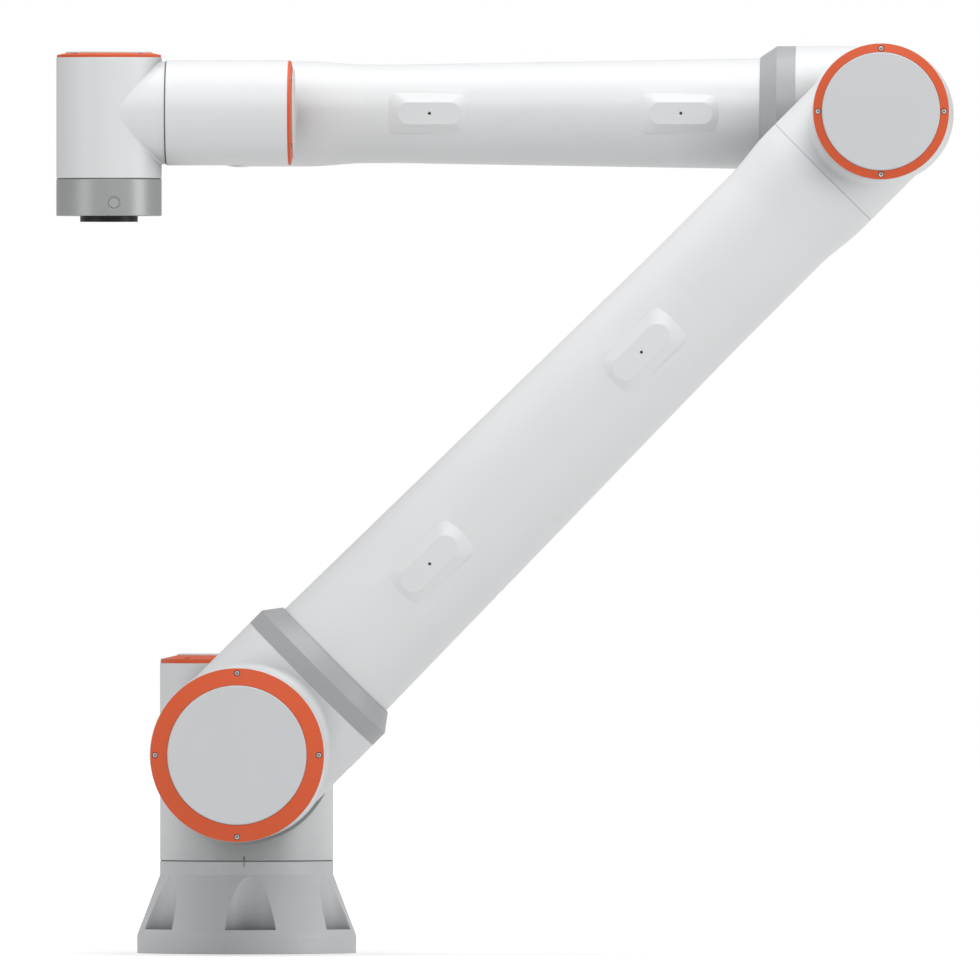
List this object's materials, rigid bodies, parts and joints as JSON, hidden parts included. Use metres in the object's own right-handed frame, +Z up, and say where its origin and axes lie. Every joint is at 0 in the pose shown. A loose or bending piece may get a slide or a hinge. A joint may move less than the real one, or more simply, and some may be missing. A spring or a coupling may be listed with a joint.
{
  "type": "robot arm",
  "caption": "Six-axis collaborative robot arm: cylindrical joint housings with round covers on their ends, two tapered tubes, a bolt-down base and a round tool flange.",
  "frame": {"origin": "centre of the base's bolt circle, on its bottom face and on the axis of joint 1", "axes": "+Z up along the axis of joint 1; -Y towards the viewer, so the joint covers of the upper arm face -Y; +X from the base towards the elbow"},
  "size_m": [0.9769, 0.4784, 0.9934],
  "materials": {
    "shell_white": "light grey-white smooth powder coat over a casting",
    "tube_white": "light grey-white smooth powder coat over extruded tube",
    "collar_grey": "mid grey smooth paint",
    "base_grey": "grey fine-textured powder coat over a casting",
    "cover_orange": "orange moulded, satin",
    "disc_grey": "light grey moulded, fine texture",
    "tool_ring_grey": "grey satin, turned",
    "tool_flange_black": "black anodised",
    "button_grey": "grey moulded",
    "connector_steel": "nickel plated",
    "screw_steel": "zinc plated",
    "gear_steel": "ground steel",
    "winding": "laminations with copper windings",
    "rotor_steel": "turned steel with plated magnets"
  },
  "bodies": {
    "base": {"base_casting": "base_grey", "base_cable_socket": "connector_steel", "joint_1_output_hub": "gear_steel"},
    "shoulder": {"shoulder_housing": "shell_white", "joint_1_cover_ring": "cover_orange", "joint_1_cover_disc": "disc_grey", "shoulder_cover_screws": "screw_steel", "joint_1_gear_ring": "gear_steel", "joint_1_motor_stator": "winding", "joint_2_output_hub": "gear_steel"},
    "upper_arm": {"upper_arm_lower_housing": "shell_white", "upper_arm_collar": "collar_grey", "upper_arm_tube": "tube_white", "upper_arm_elbow_housing": "shell_white", "joint_2_cover_ring": "cover_orange", "joint_2_cover_disc": "disc_grey", "joint_3_cover_ring": "cover_orange", "joint_3_cover_disc": "disc_grey", "upper_arm_cover_screws": "screw_steel", "joint_2_gear_ring": "gear_steel", "joint_2_motor_stator": "winding", "joint_3_gear_ring": "gear_steel", "joint_3_motor_stator": "winding"},
    "forearm": {"forearm_elbow_housing": "shell_white", "forearm_collar": "collar_grey", "forearm_tube": "tube_white", "joint_3_output_hub": "gear_steel", "joint_4_cover_ring": "cover_orange", "joint_4_cover_disc": "disc_grey", "forearm_cover_screws": "screw_steel", "joint_4_gear_ring": "gear_steel", "joint_4_motor_stator": "winding"},
    "wrist_1": {"wrist_1_housing": "shell_white", "joint_4_output_hub": "gear_steel", "joint_5_cover_ring": "cover_orange", "joint_5_cover_disc": "disc_grey", "wrist_1_cover_screws": "screw_steel", "joint_5_gear_ring": "gear_steel", "joint_5_motor_stator": "winding"},
    "wrist_2": {"wrist_2_housing": "shell_white", "joint_5_output_hub": "gear_steel", "joint_6_cover_ring": "cover_orange", "joint_6_cover_disc": "disc_grey", "wrist_2_cover_screws": "screw_steel", "joint_6_gear_ring": "gear_steel", "joint_6_motor_stator": "winding"},
    "tool_mount": {"tool_ring": "tool_ring_grey", "tool_flange": "tool_flange_black", "tool_connector": "connector_steel", "joint_6_output_hub": "gear_steel"},
    "button": {"push_button": "button_grey"},
    "rotor_1": {"joint_1_motor_rotor": "rotor_steel"},
    "rotor_2": {"joint_2_motor_rotor": "rotor_steel"},
    "rotor_3": {"joint_3_motor_rotor": "rotor_steel"},
    "rotor_4": {"joint_4_motor_rotor": "rotor_steel"},
    "rotor_5": {"joint_5_motor_rotor": "rotor_steel"},
    "rotor_6": {"joint_6_motor_rotor": "rotor_steel"}
  },
  "joints": [
    {"name": "base_turn", "type": "hinge", "parent": "base", "child": "shoulder", "pos_m": [0, 0, 0.1], "axis": [0, 0, 1], "range_deg": [-175, 175]},
    {"name": "shoulder_turn", "type": "hinge", "parent": "shoulder", "child": "upper_arm", "pos_m": [0, -0.2, 0.219], "axis": [0, 1, 0], "range_deg": [-90, 50]},
    {"name": "elbow_turn", "type": "hinge", "parent": "upper_arm", "child": "forearm", "pos_m": [0.70004, -0.2, 0.91904], "axis": [0, -1, 0], "range_deg": [-295, 20]},
    {"name": "wrist_1_turn", "type": "hinge", "parent": "forearm", "child": "wrist_1", "pos_m": [-0.00796, -0.05, 0.91904], "axis": [0, 1, 0], "range_deg": [-175, 175]},
    {"name": "wrist_2_turn", "type": "hinge", "parent": "wrist_1", "child": "wrist_2", "pos_m": [-0.03, -0.18, 0.91904], "axis": [1, 0, 0], "range_deg": [-175, 175]},
    {"name": "tool_turn", "type": "hinge", "parent": "wrist_2", "child": "tool_mount", "pos_m": [-0.14496, -0.18, 0.9], "axis": [0, 0, 1], "range_deg": [-175, 175]},
    {"name": "rotor_1_spin", "type": "hinge", "parent": "shoulder", "child": "rotor_1", "pos_m": [0, 0, 0.1], "axis": [0, 0, 1], "range_deg": [-17500, 17500]},
    {"name": "rotor_2_spin", "type": "hinge", "parent": "upper_arm", "child": "rotor_2", "pos_m": [0, -0.2, 0.219], "axis": [0, 1, 0], "range_deg": [-9000, 5000]},
    {"name": "rotor_3_spin", "type": "hinge", "parent": "upper_arm", "child": "rotor_3", "pos_m": [0.70004, -0.2, 0.91904], "axis": [0, -1, 0], "range_deg": [-2000, 29500]},
    {"name": "rotor_4_spin", "type": "hinge", "parent": "forearm", "child": "rotor_4", "pos_m": [-0.00796, -0.05, 0.91904], "axis": [0, 1, 0], "range_deg": [-17500, 17500]},
    {"name": "rotor_5_spin", "type": "hinge", "parent": "wrist_1", "child": "rotor_5", "pos_m": [-0.03, -0.18, 0.91904], "axis": [1, 0, 0], "range_deg": [-17500, 17500]},
    {"name": "rotor_6_spin", "type": "hinge", "parent": "wrist_2", "child": "rotor_6", "pos_m": [-0.14496, -0.18, 0.9], "axis": [0, 0, 1], "range_deg": [-17500, 17500]},
    {"name": "button_press", "type": "slide", "parent": "tool_mount", "child": "button", "axis": [-0.1271, 0.9919, 0], "range_m": [0, 0.001], "stiffness_N_per_m": 800, "springref_m": -0.0005}
  ],
  "couplings": [
    {"joint": "rotor_1_spin", "follows": "base_turn", "ratio": 100},
    {"joint": "rotor_2_spin", "follows": "shoulder_turn", "ratio": 100},
    {"joint": "rotor_3_spin", "follows": "elbow_turn", "ratio": -100},
    {"joint": "rotor_4_spin", "follows": "wrist_1_turn", "ratio": -100},
    {"joint": "rotor_5_spin", "follows": "wrist_2_turn", "ratio": -100},
    {"joint": "rotor_6_spin", "follows": "tool_turn", "ratio": -100}
  ]
}
